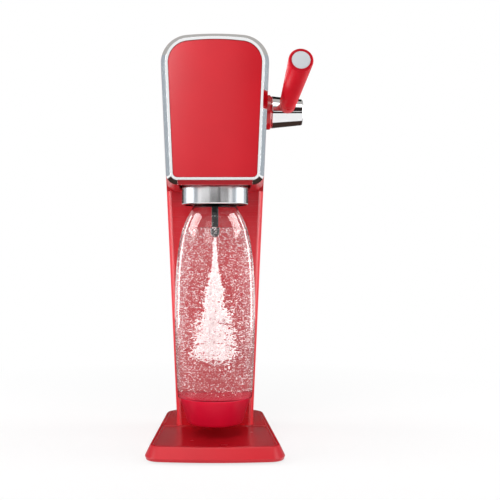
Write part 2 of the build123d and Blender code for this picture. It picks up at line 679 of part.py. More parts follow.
def hose_ends():
    """Where the gas hose leaves the valve, and where it enters the left bearing block."""
    start = Vector(-VALVE_HALF_WIDTH, VALVE_Y, BRACKET_Z - HOSE_DROP)
    inner = COLLAR_R + TRUNNION_BOSS_REACH + GAP
    end_x = (inner + half_width(0, TILT_Z) - BODY_WALL) / 2
    return start, Vector(-end_x, 0, TILT_Z + TRUNNION_BLOCK_RISE)


def gas_hose():
    start, end = hose_ends()
    nut = HOSE_NUT
    across = (start.X - end.X) / 2
    points = [start - Vector(nut, 0, 0), start - Vector(across, 0, 0),
              Vector(end.X, end.Y + 0.35 * start.Y, (start.Z + end.Z) / 2 + nut),
              end + Vector(0, 0, 2.5 * nut), end + Vector(0, 0, nut)]
    path = FilletPolyline(*points, radius=3 * HOSE_R)
    section = Plane(path @ 0, z_dir=path % 0) * Circle(HOSE_R)
    return sweep(section, path)


def hose_nuts():
    start, end = hose_ends()
    first = extrude(Plane(start, z_dir=(-1, 0, 0)) * RegularPolygon(HOSE_NUT_R, 6), HOSE_NUT)
    last = extrude(Plane(end, z_dir=(0, 0, 1)) * RegularPolygon(HOSE_NUT_R, 6), HOSE_NUT)
    return Compound(children=[first, last])


def latch_pin():
    reach = SOCKET_R + LATCH_ARM + 2 * LATCH_PIN_R
    return rod_x(-reach, reach, LATCH_PIN_R, CYLINDER_Y, LATCH_Z)


def quick_connect_lever():
    """Bail that clamps the cylinder's spigot: two arms on the pin and a cross bar behind."""
    inner = SOCKET_R + 1.0
    outer = inner + LATCH_ARM
    bar_y = CYLINDER_Y + LATCH_REACH
    bar_z = LATCH_Z - LATCH_FALL
    side = make_hull((Circle(LATCH_ARM_R).edges() + (Pos(LATCH_REACH, -LATCH_FALL) * Circle(LATCH_BAR / 2)).edges()))
    side -= Circle(LATCH_PIN_R + RUNNING)
    bail = rod_x(-outer, outer, LATCH_BAR / 2, bar_y, bar_z)
    for x in (-outer, inner):
        bail += Pos(0, CYLINDER_Y, LATCH_Z) * extrude(Plane.YZ.offset(x) * side, LATCH_ARM)
    return bail


def lever_shaft():
    low = INNER_BUSH_X - INNER_PLATE / 2 - GAP - 2 * CLIP_THICKNESS
    return rod_x(low, HUB_X + HUB_BORE_DEPTH, SHAFT_R, LEVER_Y, LEVER_Z)


def shaft_clip():
    high = INNER_BUSH_X - INNER_PLATE / 2 - GAP
    low = high - CLIP_THICKNESS
    return turned_x([(low, SHAFT_R), (low, BUSH_R), (high, BUSH_R), (high, SHAFT_R)], LEVER_Y, LEVER_Z)


def bush(low, high):
    inner = SHAFT_R + RUNNING
    return turned_x([(low, inner), (low, BUSH_R), (high, BUSH_R), (high, inner)], LEVER_Y, LEVER_Z)


def lever_bush_outer():
    return bush(WALL_X - BODY_WALL - BUSH_REACH, WALL_X + ESCUTCHEON_DEPTH)


def lever_bush_inner():
    return bush(INNER_BUSH_X - INNER_PLATE / 2, INNER_BUSH_X + INNER_PLATE / 2)


def lever_bracket():
    """Plate hung from the cross plate, with the shaft's inner bearing."""
    half = INNER_PLATE_DEPTH / 2
    low = LEVER_Z - half
    x0 = INNER_BUSH_X - INNER_PLATE / 2
    x1 = INNER_BUSH_X + INNER_PLATE / 2
    return block(x0, x1, LEVER_Y - half, LEVER_Y + half, low, BRACKET_Z) - rod_x(x0, x1, BUSH_R, LEVER_Y, LEVER_Z)


def lever_escutcheon():
    """Round seat on the slanting side wall, outside the bush."""
    high = WALL_X + ESCUTCHEON_DEPTH
    ring = rod_x(WALL_X - BODY_WALL, high, ESCUTCHEON_R, LEVER_Y, LEVER_Z)
    ring = chamfer(ring.edges().sort_by(Axis.X)[-1], HUB_BEVEL)
    ring -= slab(LEVER_Y - 2 * ESCUTCHEON_R, LEVER_Y + 2 * ESCUTCHEON_R, HEAD_BOTTOM, TOTAL_HEIGHT, 0)
    return ring - rod_x(0, high, BUSH_R, LEVER_Y, LEVER_Z)


def lever_hub():
    end = HUB_X + HUB_LENGTH
    bore = HUB_X + HUB_BORE_DEPTH
    return turned_x([(HUB_X, SHAFT_R), (HUB_X, HUB_R_INNER - HUB_BEVEL), (HUB_X + HUB_BEVEL, HUB_R_INNER),
                     (end - HUB_BEVEL, HUB_R_OUTER), (end, HUB_R_OUTER - HUB_BEVEL), (end, 0), (bore, 0),
                     (bore, SHAFT_R)], LEVER_Y, LEVER_Z)


def handle_plane():
    """Plane across the handle at the hub, facing along the handle: forward, up a little and outwards."""
    rise = math.radians(HANDLE_RISE_DEG)
    splay = math.radians(HANDLE_SPLAY_DEG)
    along = Vector(math.sin(splay), -math.cos(rise) * math.cos(splay), math.sin(rise) * math.cos(splay))
    return Plane((HUB_X + HANDLE_OFFSET, LEVER_Y, LEVER_Z + HANDLE_LIFT), z_dir=along)


def along_handle(points):
    """Solid of revolution about the handle, from (radius, distance) points."""
    return handle_plane() * revolve(Plane.XZ * make_face(Polyline(*points, close=True)), Axis.Z)


def lever_handle():
    end = HANDLE_LENGTH
    edge = HANDLE_EDGE_R
    grip = along_handle([(0, 0), (HANDLE_R_HUB, 0), (HANDLE_R_END, end - edge), (HANDLE_R_END - edge, end), (CAP_R, end),
                         (CAP_R, end - CAP_DEPTH), (0, end - CAP_DEPTH)])
    cone = turned_x([(HUB_X, 0), (HUB_X, HUB_R_INNER), (HUB_X + HUB_BEVEL, HUB_R_INNER),
                     (HUB_X + HUB_LENGTH - HUB_BEVEL, HUB_R_OUTER), (HUB_X + HUB_LENGTH, HUB_R_OUTER),
                     (HUB_X + HUB_LENGTH, 0)], LEVER_Y, LEVER_Z)
    return grip - cone


def handle_cap_ring():
    low = HANDLE_LENGTH - CAP_DEPTH
    inner = CAP_R - CAP_RING_WALL
    return along_handle([(inner, low), (CAP_R, low), (CAP_R, HANDLE_LENGTH), (inner, HANDLE_LENGTH)])


def handle_cap_disc():
    low = HANDLE_LENGTH - CAP_DEPTH
    return along_handle([(0, low), (CAP_R - CAP_RING_WALL, low), (CAP_R - CAP_RING_WALL, HANDLE_LENGTH - SEAM),
                         (0, HANDLE_LENGTH)])


def lever_cam():
    """Cam whose reach towards the rod grows evenly as the lever goes down."""
    rate = CAM_LIFT / math.radians(LEVER_SWING_DEG)

    def flank(degrees):
        a = math.radians(degrees)
        reach = CAM_R - rate * a
        return (reach * math.cos(a) + rate * math.sin(a), reach * math.sin(a) - rate * math.cos(a))

    points = [flank(degrees) for degrees in (40, 20, 0, -20, -40, -60)]
    tail = (-0.8 * CAM_HUB_R, -0.6 * CAM_HUB_R)
    lobe = make_face([Spline(*points), Line(points[-1], tail), Line(tail, points[0])])
    face = Circle(CAM_HUB_R) + lobe - Circle(SHAFT_R)
    return Pos(0, LEVER_Y, LEVER_Z) * extrude(Plane.YZ.offset(-CAM_THICKNESS / 2) * face, CAM_THICKNESS)


def push_rod():
    pad = LEVER_Y + CAM_R + GAP
    end = VALVE_Y - VALVE_DEPTH / 2 + ROD_BORE_DEPTH - CAM_LIFT - GAP
    return rod_y(pad, pad + ROD_PAD, ROD_PAD_R, 0, LEVER_Z) + rod_y(pad + ROD_PAD, end, ROD_R, 0, LEVER_Z)


def lever_return_spring():
    """Flat spiral spring round the shaft, with a tail up to the cross plate."""
    half_pitch = SPRING_PITCH / 2
    radius = SHAFT_R + GAP + (SPRING_STRIP + half_pitch) / 2
    turns = []
    for number in range(SPRING_HALF_TURNS):
        odd = number % 2
        centre = (-half_pitch / 2 if odd else half_pitch / 2, 0)
        turns.append(CenterArc(centre, radius + number * half_pitch, 180 * odd, 180))
    end = turns[-1] @ 1
    tail = Line(end, (end.X, BRACKET_Z - LEVER_Z))
    strip = trace(turns + [tail], SPRING_STRIP)
    return Pos(0, LEVER_Y, LEVER_Z) * extrude(Plane.YZ.offset(SPRING_X) * strip, SPRING_WIDTH)


PIECES = [base_housing, base_bottom_plate, foot_ring, base_screws, drip_tray, column_shell, trough_liner, head_shell,
          chrome_frame, front_panel, rear_cover, cover_button, bottle_shell, bottle_foot, holder_collar,
          guide_sleeve, holder_carriage, trunnion_pins, trunnion_blocks, bottle_gasket, snap_jaws, nozzle_tube, nozzle_tip,
          co2_cylinder, cylinder_adaptor, cylinder_cradle, valve_bracket, valve_body, inlet_seal, relief_valve,
          gas_hose, hose_nuts, latch_pin, quick_connect_lever, lever_shaft, shaft_clip, lever_bush_outer,
          lever_bush_inner, lever_bracket, lever_escutcheon, lever_hub, lever_handle, handle_cap_ring,
          handle_cap_disc, lever_cam, push_rod, lever_return_spring]

os.makedirs("parts", exist_ok=True)
for piece in PIECES:
    export_step(piece(), os.path.join("parts", piece.__name__ + ".step"))
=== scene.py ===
# Soda carbonator
# The imported machine is the frame that every piece below sits in, in metres, with -Y to the front and Z up.
# Its box is kept.
import math
import random

import bmesh
import bpy
from mathutils import Euler, Matrix, Vector
from mathutils.geometry import interpolate_bezier


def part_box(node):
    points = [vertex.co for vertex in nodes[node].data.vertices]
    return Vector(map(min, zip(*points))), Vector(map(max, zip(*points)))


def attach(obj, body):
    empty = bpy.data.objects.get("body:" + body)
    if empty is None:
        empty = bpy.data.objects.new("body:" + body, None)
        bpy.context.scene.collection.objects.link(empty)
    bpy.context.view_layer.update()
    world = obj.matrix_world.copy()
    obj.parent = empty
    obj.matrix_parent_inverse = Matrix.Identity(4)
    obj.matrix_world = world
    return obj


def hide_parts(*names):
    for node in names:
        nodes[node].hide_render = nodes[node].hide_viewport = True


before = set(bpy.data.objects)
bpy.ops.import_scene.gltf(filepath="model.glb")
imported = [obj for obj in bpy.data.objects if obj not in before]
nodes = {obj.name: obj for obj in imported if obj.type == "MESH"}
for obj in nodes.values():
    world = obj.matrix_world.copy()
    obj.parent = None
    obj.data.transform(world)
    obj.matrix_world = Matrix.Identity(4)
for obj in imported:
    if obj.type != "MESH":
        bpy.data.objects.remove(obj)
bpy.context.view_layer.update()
scene = bpy.context.scene


# Studio
# A level camera stands in front of the bottle, and a pale paper floor keeps the machine's soft shadow.
# Soft boxes light it from all round, and some of them light or spare only a few pieces, as flags on a set do.
# Cards that only bright work sees stand in for a dark, grey-walled room.
CAMERA_PLACE = (0.0, -0.89, 0.215)
CAMERA_LENS = 59.04
CAMERA_SHIFT = 0.07
FLOOR_SIZE = 12.0
FLOOR_DROP = 0.0003
SHADOW_NEAR = 0.25
SHADOW_FAR = 0.7
SHADOW_FADE = 0.75
PAPER = (0.88, 0.88, 0.88)
DARK_CARD = (0.03, 0.02, 0.02)
BLACK_CARD = (0.01, 0.01, 0.012)
WALL_CARD = (0.42, 0.46, 0.5)
CEILING_CARD = (0.5, 0.48, 0.46)
ROOM_WHITE = 1.0
ROOM_FILL = 0.35

scene.view_settings.view_transform = "Standard"
camera_data = bpy.data.cameras.new("camera")
camera_data.lens = CAMERA_LENS
camera_data.sensor_width = 36.0
camera_data.shift_x = CAMERA_SHIFT
camera = bpy.data.objects.new("camera", camera_data)
camera.location = CAMERA_PLACE
camera.rotation_euler = (math.radians(90), 0, 0)
scene.collection.objects.link(camera)
scene.camera = camera


def new_material(name):
    """Node material with nothing but its output."""
    material = bpy.data.materials.new(name)
    material.use_nodes = True
    tree = material.node_tree
    tree.nodes.clear()
    return material, tree, tree.nodes.new("ShaderNodeOutputMaterial")


def new_object(name, bm):
    """Mesh object at the origin from a finished bmesh."""
    mesh = bpy.data.meshes.new(name)
    bm.to_mesh(mesh)
    bm.free()
    made = bpy.data.objects.new(name, mesh)
    scene.collection.objects.link(made)
    return made


def seen_directly(tree):
    """1 for rays from the camera, from bright work and through clear pieces, and 0 for the rest."""
    path = tree.nodes.new("ShaderNodeLightPath")
    first = tree.nodes.new("ShaderNodeMath")
    first.operation = "MAXIMUM"
    tree.links.new(path.outputs["Is Camera Ray"], first.inputs[0])
    tree.links.new(path.outputs["Is Transmission Ray"], first.inputs[1])
    second = tree.nodes.new("ShaderNodeMath")
    second.operation = "MAXIMUM"
    tree.links.new(first.outputs[0], second.inputs[0])
    tree.links.new(path.outputs["Is Glossy Ray"], second.inputs[1])
    return second.outputs[0]


def floor_paper():
    """White paper that shows the shadow near the machine and melts into the background further off."""
    material, tree, output = new_material("floor_paper")
    place = tree.nodes.new("ShaderNodeTexCoord")
    distance = tree.nodes.new("ShaderNodeVectorMath")
    distance.operation = "LENGTH"
    tree.links.new(place.outputs["Object"], distance.inputs[0])
    fade = tree.nodes.new("ShaderNodeMapRange")
    fade.inputs["From Min"].default_value = SHADOW_NEAR
    fade.inputs["From Max"].default_value = SHADOW_FAR
    fade.inputs["To Min"].default_value = SHADOW_FADE
    fade.inputs["To Max"].default_value = 1.0
    tree.links.new(distance.outputs["Value"], fade.inputs["Value"])
    share = tree.nodes.new("ShaderNodeMath")
    share.operation = "MULTIPLY"
    tree.links.new(seen_directly(tree), share.inputs[0])
    tree.links.new(fade.outputs["Result"], share.inputs[1])
    paper = tree.nodes.new("ShaderNodeBsdfDiffuse")
    paper.inputs["Color"].default_value = (*PAPER, 1)
    glow = tree.nodes.new("ShaderNodeEmission")
    mix = tree.nodes.new("ShaderNodeMixShader")
    tree.links.new(share.outputs[0], mix.inputs[0])
    tree.links.new(paper.outputs[0], mix.inputs[1])
    tree.links.new(glow.outputs[0], mix.inputs[2])
    tree.links.new(mix.outputs[0], output.inputs["Surface"])
    return material


floor_mesh = bmesh.new()
bmesh.ops.create_grid(floor_mesh, x_segments=1, y_segments=1, size=FLOOR_SIZE / 2)
bmesh.ops.translate(floor_mesh, verts=floor_mesh.verts, vec=(0, 0, -FLOOR_DROP))
floor = new_object("floor", floor_mesh)
floor.data.materials.append(floor_paper())

world = bpy.data.worlds.new("studio")
scene.world = world
world.use_nodes = True
room = world.node_tree
background = room.nodes["Background"]
background.inputs["Color"].default_value = (1, 1, 1, 1)
level = room.nodes.new("ShaderNodeMapRange")
level.inputs["To Min"].default_value = ROOM_FILL
level.inputs["To Max"].default_value = ROOM_WHITE
room.links.new(seen_directly(room), level.inputs["Value"])
room.links.new(level.outputs["Result"], background.inputs["Strength"])


def soft_box(name, place, target, width, height, watts, mirrored=True, lights=(), spares=()):
    """Rectangular lamp that faces a point on the machine.

    It may stay out of reflections, and may light only a few pieces or spare them.
    """
    data = bpy.data.lights.new(name, "AREA")
    data.shape = "RECTANGLE"
    data.size = width
    data.size_y = height
    data.energy = watts
    lamp = bpy.data.objects.new(name, data)
    lamp.location = place
    lamp.rotation_euler = (Vector(target) - Vector(place)).to_track_quat("-Z", "Y").to_euler()
    lamp.visible_glossy = mirrored
    scene.collection.objects.link(lamp)
    if lights or spares:
        group = bpy.data.collections.new(name)
        for node in (*lights, *spares):
            group.objects.link(nodes[node])
        for entry in group.collection_objects:
            entry.light_linking.link_state = "EXCLUDE" if spares else "INCLUDE"
        lamp.light_linking.receiver_collection = group


def reach(lamp_name, piece, state):
    """Say whether a lamp that lights or spares a few pieces also does so to a piece made later."""
    group = bpy.data.collections[lamp_name]
    group.objects.link(piece)
    for entry in group.collection_objects:
        entry.light_linking.link_state = state


def card(name, corner, far_corner, shade):
    """Flat card between two corners that only bright work sees, and clear pieces don't."""
    low, high = Vector(corner), Vector(far_corner)
    flat = min(range(3), key=lambda axis: high[axis] - low[axis])
    bm = bmesh.new()
    bmesh.ops.create_grid(bm, x_segments=1, y_segments=1, size=0.5)
    quarter = math.radians(90)
    turns = (Matrix.Rotation(quarter, 3, "Y"), Matrix.Rotation(quarter, 3, "X"), Matrix.Identity(3))
    bmesh.ops.rotate(bm, verts=bm.verts, matrix=turns[flat])
    bmesh.ops.scale(bm, verts=bm.verts, vec=high - low)
    bmesh.ops.translate(bm, verts=bm.verts, vec=(low + high) / 2)
    made = new_object(name, bm)
    material, tree, output = new_material(name)
    glow = tree.nodes.new("ShaderNodeEmission")
    glow.inputs["Color"].default_value = (*shade, 1)
    path = tree.nodes.new("ShaderNodeLightPath")
    mix = tree.nodes.new("ShaderNodeMixShader")
    tree.links.new(path.outputs["Transmission Depth"], mix.inputs[0])
    tree.links.new(glow.outputs[0], mix.inputs[1])
    tree.links.new(tree.nodes.new("ShaderNodeBsdfTransparent").outputs[0], mix.inputs[2])
    tree.links.new(mix.outputs[0], output.inputs["Surface"])
    made.data.materials.append(material)
    made.visible_camera = False
    made.visible_diffuse = False
    made.visible_transmission = False
    made.visible_shadow = False


SIDES = {"right": 1, "left": -1}
foot_pieces = ("base_housing", "drip_tray")
upright = ("column_shell", "base_housing")
for side, way in SIDES.items():
    soft_box("side_" + side, (way, 0.1, 0.42), (0, 0, 0.27), 0.45, 1.0, 10.0, spares=foot_pieces)
    soft_box("low_" + side, (0.95 * way, -0.5, 0.25), (0, 0, 0.15), 0.4, 0.7, 4.0, lights=upright)
    soft_box("trough_" + side, (way, -0.12, 0.2), (0, 0.04, 0.2), 0.3, 0.6, 12.0,
             mirrored=False, lights=("trough_liner",))
    soft_box("strip_" + side, (0.85 * way, 0, 1.15), (0, 0, 0.25), 0.8, 1.3, 30.0, lights=("bottle_shell",))
    soft_box("rim_" + side, (way, 0.75, 0.25), (0, 0, 0.2), 0.22, 1.2, 4.5, lights=("bottle_shell",))
    soft_box("collar_" + side, (way, 0.1, 0.42), (0, 0, 0.27), 0.7, 1.0, 2.4, lights=("holder_collar",))
soft_box("front_fill", (-0.5, -1.1, 0.95), (0, -0.05, 0.25), 0.6, 0.6, 4.5, mirrored=False)
soft_box("front_left", (-0.7, -1.1, 0.95), (0, -0.05, 0.36), 0.5, 0.6, 8.0, lights=("front_panel",))
soft_box("top_front", (0, -0.67, 1.4), (0, -0.05, 0.1), 0.9, 0.35, 3.0)
soft_box("skirt_sheen", (0, -0.67, 1.4), (0, -0.05, 0.1), 0.9, 0.35, 4.0, lights=("base_housing",))
soft_box("top_back", (0.3, 0.55, 1.15), (0, 0.05, 0.3), 0.9, 0.5, 1.0, mirrored=False)
card("camera_gap", (-0.42, -1.3, 0.3), (0.42, -1.3, 0.388), BLACK_CARD)
card("low_front", (-1.4, -1.3, -0.3), (1.4, -1.3, 0.3), DARK_CARD)
card("high_right", (0.3, -1.3, 0.39), (1.4, -1.3, 1.3), DARK_CARD)
card("left_wall", (-1.6, -0.9, 0.0), (-1.6, 1.5, 1.3), WALL_CARD)
card("right_wall", (1.6, -0.9, 0.0), (1.6, 1.5, 1.3), WALL_CARD)
card("back_wall", (-1.6, 1.6, 0.24), (1.6, 1.6, 2.1), DARK_CARD)
card("ceiling", (-1.6, -1.2, 2.1), (1.6, 1.6, 2.1), CEILING_CARD)
card("left_slope", (-1.61, -0.9, 1.3), (-1.61, 1.5, 2.1), CEILING_CARD)
card("right_slope", (1.61, -0.9, 1.3), (1.61, 1.5, 2.1), CEILING_CARD)
card("hub_shade", (0.062, 0.0, 0.43), (0.105, 0.08, 0.43), (0.01, 0.01, 0.01))
card("table_shade", (-0.7, -0.02, 0.0005), (0.7, 1.6, 0.0005), (0.05, 0.03, 0.025))


# Base
# The plinth is one satin red moulding with a sloped skirt, on a flat rubber ring that keeps it from sliding.
# A dark plate closes it below, held by four screws that go up into bosses in the moulding.
RED = (0.56, 0.009, 0.019)
CASE_EDGE = 0.0007
SMALL_EDGE = 0.0003
SMOOTH_ANGLE = math.radians(32)


def moulded_plastic(name, colour, roughness, grain=0.0, coat=0.0, polished_top=1.0, crown=0.0, shine=0.5):
    """Moulded plastic with a colour that drifts slightly and handled gloss.

    It gets a mould grain, a polished top or a slight crown across its width if asked.
    """
    material, tree, output = new_material(name)
    shader = tree.nodes.new("ShaderNodeBsdfPrincipled")
    shader.inputs["Coat Weight"].default_value = coat
    shader.inputs["Coat Roughness"].default_value = 0.05
    shader.inputs["Specular IOR Level"].default_value = shine
    tree.links.new(shader.outputs[0], output.inputs["Surface"])
    place = tree.nodes.new("ShaderNodeTexCoord")

    cloud = tree.nodes.new("ShaderNodeTexNoise")
    cloud.inputs["Scale"].default_value = 16.0
    cloud.inputs["Detail"].default_value = 3.0
    tree.links.new(place.outputs["Object"], cloud.inputs["Vector"])
    tone = tree.nodes.new("ShaderNodeValToRGB")
    darker, lighter = tone.color_ramp.elements
    darker.position = 0.3
    darker.color = (*(0.95 * c for c in colour), 1)
    lighter.position = 0.7
    lighter.color = (*(min(1.0, 1.05 * c) for c in colour), 1)
    tree.links.new(cloud.outputs["Fac"], tone.inputs["Fac"])
    tree.links.new(tone.outputs["Color"], shader.inputs["Base Color"])

    touch = tree.nodes.new("ShaderNodeTexNoise")
    touch.inputs["Scale"].default_value = 55.0
    touch.inputs["Detail"].default_value = 4.0
    tree.links.new(place.outputs["Object"], touch.inputs["Vector"])
    gloss = tree.nodes.new("ShaderNodeMapRange")
    gloss.inputs["To Min"].default_value = 0.88 * roughness
    gloss.inputs["To Max"].default_value = 1.12 * roughness
    tree.links.new(touch.outputs["Fac"], gloss.inputs["Value"])
    level_top = tree.nodes.new("ShaderNodeMapRange")
    level_top.inputs["From Min"].default_value = 0.95
    level_top.inputs["To Min"].default_value = 1.0
    level_top.inputs["To Max"].default_value = polished_top
    facing = tree.nodes.new("ShaderNodeSeparateXYZ")
    tree.links.new(tree.nodes.new("ShaderNodeNewGeometry").outputs["Normal"], facing.inputs[0])
    tree.links.new(facing.outputs["Z"], level_top.inputs["Value"])
    polish = tree.nodes.new("ShaderNodeMath")
    polish.operation = "MULTIPLY"
    tree.links.new(gloss.outputs["Result"], polish.inputs[0])
    tree.links.new(level_top.outputs["Result"], polish.inputs[1])
    tree.links.new(polish.outputs[0], shader.inputs["Roughness"])

    if grain > 0:
        pores = tree.nodes.new("ShaderNodeTexNoise")
        pores.inputs["Scale"].default_value = 1500.0
        pores.inputs["Detail"].default_value = 2.0
        tree.links.new(place.outputs["Object"], pores.inputs["Vector"])
        bump = tree.nodes.new("ShaderNodeBump")
        bump.inputs["Strength"].default_value = grain
        bump.inputs["Distance"].default_value = 0.0002
        tree.links.new(pores.outputs["Fac"], bump.inputs["Height"])
        tree.links.new(bump.outputs["Normal"], shader.inputs["Normal"])
    if crown > 0:
        across = tree.nodes.new("ShaderNodeSeparateXYZ")
        tree.links.new(place.outputs["Object"], across.inputs[0])
        square = tree.nodes.new("ShaderNodeMath")
        square.operation = "MULTIPLY"
        tree.links.new(across.outputs["X"], square.inputs[0])
        tree.links.new(across.outputs["X"], square.inputs[1])
        curve = tree.nodes.new("ShaderNodeBump")
        curve.invert = True
        curve.inputs["Distance"].default_value = crown
        tree.links.new(square.outputs[0], curve.inputs["Height"])
        tree.links.new(curve.outputs["Normal"], shader.inputs["Normal"])
    return material


def worked_metal(name, colour, roughness, turned=0.0):
    """Plated, polished or turned metal with faint wipe marks and, if asked, fine rings from the lathe."""
    material, tree, output = new_material(name)
    shader = tree.nodes.new("ShaderNodeBsdfPrincipled")
    shader.inputs["Base Color"].default_value = (*colour, 1)
    shader.inputs["Metallic"].default_value = 1.0
    tree.links.new(shader.outputs[0], output.inputs["Surface"])
    place = tree.nodes.new("ShaderNodeTexCoord")
    wipe = tree.nodes.new("ShaderNodeTexNoise")
    wipe.inputs["Scale"].default_value = 60.0
    wipe.inputs["Detail"].default_value = 5.0
    tree.links.new(place.outputs["Object"], wipe.inputs["Vector"])
    gloss = tree.nodes.new("ShaderNodeMapRange")
    gloss.inputs["To Min"].default_value = 0.75 * roughness
    gloss.inputs["To Max"].default_value = 1.25 * roughness
    tree.links.new(wipe.outputs["Fac"], gloss.inputs["Value"])
    tree.links.new(gloss.outputs["Result"], shader.inputs["Roughness"])
    if turned > 0:
        stretch = tree.nodes.new("ShaderNodeMapping")
        stretch.inputs["Scale"].default_value = (20, 20, 3000)
        tree.links.new(place.outputs["Object"], stretch.inputs["Vector"])
        rings = tree.nodes.new("ShaderNodeTexNoise")
        rings.inputs["Scale"].default_value = 1.0
        tree.links.new(stretch.outputs["Vector"], rings.inputs["Vector"])
        bump = tree.nodes.new("ShaderNodeBump")
        bump.inputs["Strength"].default_value = turned
        bump.inputs["Distance"].default_value = 0.0001
        tree.links.new(rings.outputs["Fac"], bump.inputs["Height"])
        tree.links.new(bump.outputs["Normal"], shader.inputs["Normal"])
    return material


def finish_node(name, material, edge=0.0):
    """Finish for a piece that keeps its solid, with its sharp edges broken by a small radius."""
    node = nodes[name]
    node.data.materials.clear()
    node.data.materials.append(material)
    weld = node.modifiers.new("weld", "WELD")
    weld.merge_threshold = 0.00001
    if edge > 0:
        flats = node.modifiers.new("flats", "DECIMATE")
        flats.decimate_type = "DISSOLVE"
        flats.angle_limit = math.radians(0.5)
        rounding = node.modifiers.new("rounding", "BEVEL")
        rounding.width = edge
        rounding.segments = 3
        rounding.limit_method = "ANGLE"
        rounding.angle_limit = SMOOTH_ANGLE
        rounding.harden_normals = False
    node.data.shade_smooth()
    creases = node.modifiers.new("creases", "EDGE_SPLIT")
    creases.split_angle = SMOOTH_ANGLE
    creases.use_edge_sharp = False
    shading = node.modifiers.new("shading", "WEIGHTED_NORMAL")
    shading.keep_sharp = True


red_satin = moulded_plastic("red_satin", RED, 0.34, grain=0.15)
red_gloss = moulded_plastic("red_gloss", RED, 0.16, coat=0.3)
dark_satin = moulded_plastic("dark_satin", (0.012, 0.012, 0.013), 0.32, grain=0.2)
foot_rubber = moulded_plastic("foot_rubber", (0.02, 0.02, 0.02), 0.7, grain=0.4)
bright_steel = worked_metal("bright_steel", (0.8, 0.8, 0.8), 0.12, turned=0.05)
base_red = moulded_plastic("base_red", RED, 0.34, polished_top=0.4)
finish_node("base_housing", base_red, CASE_EDGE)
finish_node("base_bottom_plate", dark_satin)
finish_node("foot_ring", foot_rubber, SMALL_EDGE)
finish_node("base_screws", bright_steel)


# Drip tray
# A loose, satin red plate lies in a recess of the base, in front of the column.
# It is moulded in one and lifts out for rinsing.
finish_node("drip_tray", moulded_plastic("red_tray", RED, 0.26, coat=0.1), SMALL_EDGE)


# Column
# The upright is a satin red moulding, glued to the base, with two straight edges to the front.
# A hollow, ribbed panel is pressed in between them, behind the bottle.
COLUMN_EDGE = 0.001
column_red = moulded_plastic("column_red", RED, 0.36, crown=7.0)
finish_node("column_shell", column_red, COLUMN_EDGE)
finish_node("trough_liner", red_satin)


# Head and rear cover
# The head is a hollow red moulding that leans out upwards, screwed on the column.
# A tall cover closes the cylinder compartment behind, and a push button on it lets it go.
finish_node("head_shell", red_satin, CASE_EDGE)
finish_node("rear_cover", red_satin, CASE_EDGE)
finish_node("cover_button", red_gloss, SMALL_EDGE)


# Front frame and panel
# A chromed plastic frame with a slanting outer band is clipped round the head's front.
# The bare panel inside it is polished red plastic, sunk a little below the frame's rim.
PANEL_EDGE = 0.0005
chrome = worked_metal("chrome", (0.86, 0.87, 0.88), 0.05)
red_panel = moulded_plastic("red_panel", RED, 0.3, crown=1.6)
finish_node("chrome_frame", chrome, SMALL_EDGE)
finish_node("front_panel", red_panel, PANEL_EDGE)


# Gas cylinder
# A drawn aluminium bottle stands in a dark plastic cradle behind the column.
# A pink plastic adaptor is screwed on its neck, with the spigot that enters the valve.
drawn_aluminium = worked_metal("drawn_aluminium", (0.8, 0.8, 0.82), 0.3, turned=0.05)
pink_plastic = moulded_plastic("pink_plastic", (0.6, 0.02, 0.2), 0.25)
finish_node("co2_cylinder", drawn_aluminium)
finish_node("cylinder_adaptor", pink_plastic, SMALL_EDGE)
finish_node("cylinder_cradle", dark_satin, SMALL_EDGE)


# Valve gear
# A brass valve hangs from a zinc-plated cross plate under the head's top, with a relief valve and a gas hose.
# A pink bail on a steel pin locks the cylinder's spigot into its socket.
machined_brass = worked_metal("machined_brass", (0.75, 0.55, 0.25), 0.28, turned=0.1)
zinc_plate = worked_metal("zinc_plate", (0.5, 0.5, 0.52), 0.4)
for name in ("valve_body", "relief_valve", "hose_nuts"):
    finish_node(name, machined_brass, SMALL_EDGE)
for name in ("valve_bracket", "lever_bracket"):
    finish_node(name, zinc_plate, SMALL_EDGE)
for name in ("inlet_seal", "gas_hose"):
    finish_node(name, foot_rubber)
finish_node("quick_connect_lever", pink_plastic, SMALL_EDGE)
finish_node("latch_pin", bright_steel)


# Lever works
# The steel lever shaft runs in two grey bushes and carries a cam, which pushes the rod that opens the valve.
# A flat spiral spring of steel turns the lever back, and a clip holds the shaft.
grey_plastic = moulded_plastic("grey_plastic", (0.3, 0.3, 0.31), 0.35, grain=0.15)
for name in ("lever_bush_outer", "lever_bush_inner"):
    finish_node(name, grey_plastic)
for name in ("lever_shaft", "shaft_clip", "lever_cam", "push_rod", "lever_return_spring"):
    finish_node(name, bright_steel)


# Lever hub
# A chromed, slightly tapered drum is pressed on the shaft's end.
# It runs on a red seat ring that follows the head's slanting side.
HUB_R_INNER = 0.01725
HUB_R_OUTER = 0.01375
HUB_SOFT = 0.0012
ROUND_STEPS = 96
CORNER_STEPS = 5


